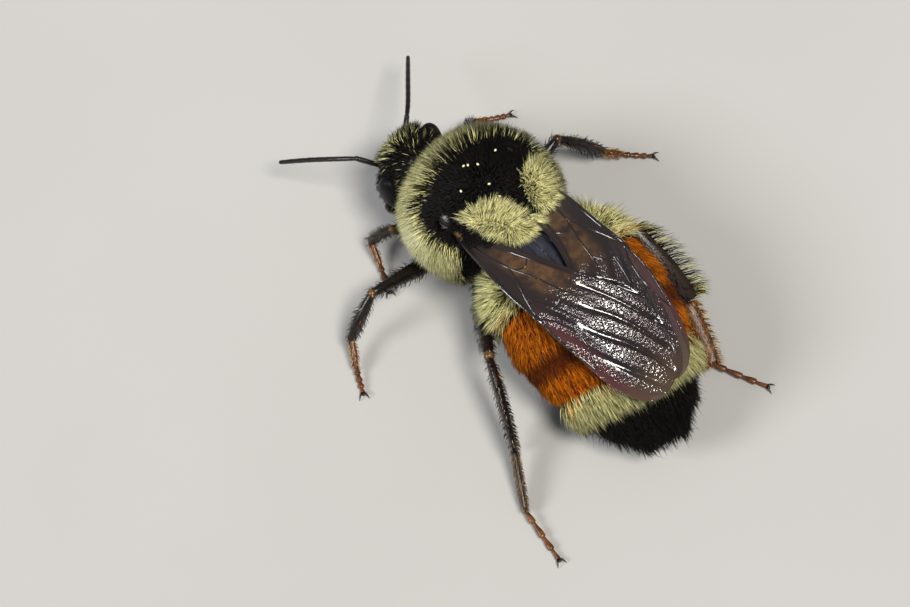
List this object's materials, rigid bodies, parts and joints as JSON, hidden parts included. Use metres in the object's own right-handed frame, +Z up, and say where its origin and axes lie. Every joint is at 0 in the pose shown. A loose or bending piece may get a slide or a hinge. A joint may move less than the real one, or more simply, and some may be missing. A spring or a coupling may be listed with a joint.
{
  "type": "bumblebee",
  "caption": "Life-size tri-coloured bumblebee queen standing at rest with folded wings, a still museum-like model.",
  "frame": {"origin": "middle of the footprint of the whole bee, on the plane its feet stand on", "axes": "+Z up, +Y towards the tail, -Y the way the bee faces, +X towards the bee's left side"},
  "size_m": [0.0186, 0.023, 0.0084],
  "materials": {
    "coat_yellow": "soft pale lime-yellow hair, matte",
    "coat_orange": "soft deep orange hair, matte",
    "coat_black": "soft black hair, matte",
    "shell": "black-brown polished shell with fine pits",
    "eye": "black faceted eye, glossy",
    "wing": "smoky brown membrane with dark veins, satin sheen",
    "foot": "orange-brown leg shell, satin, short hairs"
  },
  "bodies": {
    "root": {"eye_left": "eye", "mandible_left": "shell", "antenna_left_scape": "shell", "antenna_left_flagellum": "shell", "tegula_left": "shell", "eye_right": "eye", "mandible_right": "shell", "antenna_right_scape": "shell", "antenna_right_flagellum": "shell", "tegula_right": "shell", "forewing_left": "wing", "forewing_right": "wing", "hindwing_left": "wing", "hindwing_right": "wing", "leg_front_left_coxa": "shell", "leg_front_left_femur": "shell", "leg_front_left_tibia": "shell", "leg_front_left_basitarsus": "foot", "leg_front_left_tarsus": "foot", "leg_front_right_coxa": "shell", "leg_front_right_femur": "shell", "leg_front_right_tibia": "shell", "leg_front_right_basitarsus": "foot", "leg_front_right_tarsus": "foot", "leg_middle_left_coxa": "shell", "leg_middle_left_femur": "shell", "leg_middle_left_tibia": "shell", "leg_middle_left_basitarsus": "foot", "leg_middle_left_tarsus": "foot", "leg_middle_right_coxa": "shell", "leg_middle_right_femur": "shell", "leg_middle_right_tibia": "shell", "leg_middle_right_basitarsus": "foot", "leg_middle_right_tarsus": "foot", "leg_hind_left_coxa": "shell", "leg_hind_left_femur": "shell", "leg_hind_left_tibia": "shell", "leg_hind_left_basitarsus": "foot", "leg_hind_left_tarsus": "foot", "leg_hind_right_coxa": "shell", "leg_hind_right_femur": "shell", "leg_hind_right_tibia": "shell", "leg_hind_right_basitarsus": "foot", "leg_hind_right_tarsus": "foot", "thorax": "coat_yellow", "head": "coat_black", "abdomen_1": "coat_yellow", "abdomen_2": "coat_orange", "abdomen_3": "coat_orange", "abdomen_4": "coat_yellow", "abdomen_5": "coat_black", "abdomen_6": "coat_black"}
  },
  "joints": []
}
